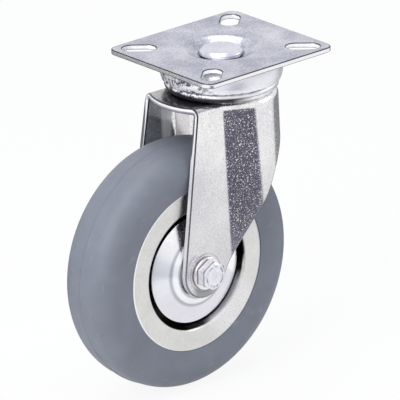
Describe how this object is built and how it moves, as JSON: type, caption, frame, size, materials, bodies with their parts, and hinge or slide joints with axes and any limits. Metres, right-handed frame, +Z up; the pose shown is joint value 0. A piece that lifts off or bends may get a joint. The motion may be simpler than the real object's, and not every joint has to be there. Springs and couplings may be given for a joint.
{
  "type": "swivel castor",
  "caption": "Swivel castor with a slotted top plate, a pressed steel fork on a double ball race and a solid grey rubber wheel on a roller bearing.",
  "frame": {"origin": "centre of the top plate's mounting face, on the swivel axis", "axes": "+Z up, out of the mounting face; X along the plate's long side, the wheel trails towards -X; the axle lies along Y with the bolt's head at -Y"},
  "size_m": [0.1345, 0.074, 0.1655],
  "materials": {
    "plate_zinc": "bright zinc plating, semi-gloss",
    "race_zinc": "bright zinc plating, glossy",
    "pin_zinc": "bright zinc plating, semi-gloss",
    "fork_zinc": "bright zinc plating with a fine grain, glossy",
    "bolt_zinc": "bright zinc plating, glossy",
    "guard_zinc": "bright zinc plating, glossy",
    "rim_zinc": "zinc plating, satin",
    "ball_steel": "polished hardened steel",
    "inner_steel": "plain ground steel",
    "insert_nylon": "plain moulded nylon",
    "cage_plastic": "moulded nylon, matt",
    "tyre_rubber": "non-marking grey rubber, matt"
  },
  "bodies": {
    "plate": {"top_plate": "plate_zinc", "race_housing": "race_zinc", "kingpin": "pin_zinc", "kingpin_washer": "pin_zinc", "lower_race_cup": "race_zinc"},
    "upper_ball_ring": {"upper_balls": "ball_steel"},
    "lower_ball_ring": {"lower_balls": "ball_steel"},
    "fork": {"fork": "fork_zinc", "dust_ring": "race_zinc", "axle_bolt": "bolt_zinc", "axle_nut": "bolt_zinc", "axle_nut_insert": "insert_nylon", "axle_washer_near": "bolt_zinc", "axle_washer_far": "bolt_zinc", "axle_sleeve": "inner_steel", "thread_guard_near": "guard_zinc", "thread_guard_far": "guard_zinc"},
    "roller_ring": {"rollers": "ball_steel", "roller_cage": "cage_plastic"},
    "wheel": {"tyre": "tyre_rubber", "rim_disc_near": "rim_zinc", "rim_disc_far": "rim_zinc", "rim_rivets": "rim_zinc", "hub_tube": "inner_steel", "bearing_ring_near": "inner_steel", "bearing_ring_far": "inner_steel"}
  },
  "joints": [
    {"name": "swivel", "type": "hinge", "parent": "plate", "child": "fork", "pos_m": [0, 0, 0], "axis": [0, 0, 1], "continuous": true},
    {"name": "upper_ball_orbit", "type": "hinge", "parent": "plate", "child": "upper_ball_ring", "pos_m": [0, 0, 0], "axis": [0, 0, 1], "continuous": true},
    {"name": "lower_ball_orbit", "type": "hinge", "parent": "plate", "child": "lower_ball_ring", "pos_m": [0, 0, 0], "axis": [0, 0, 1], "continuous": true},
    {"name": "wheel_spin", "type": "hinge", "parent": "fork", "child": "wheel", "pos_m": [-0.031, 0, -0.103], "axis": [0, 1, 0], "continuous": true},
    {"name": "roller_orbit", "type": "hinge", "parent": "fork", "child": "roller_ring", "pos_m": [-0.031, 0, -0.103], "axis": [0, 1, 0], "continuous": true}
  ],
  "couplings": [
    {"joint": "upper_ball_orbit", "follows": "swivel", "ratio": 0.4673},
    {"joint": "lower_ball_orbit", "follows": "swivel", "ratio": 0.4531},
    {"joint": "roller_orbit", "follows": "wheel_spin", "ratio": 0.6273}
  ]
}
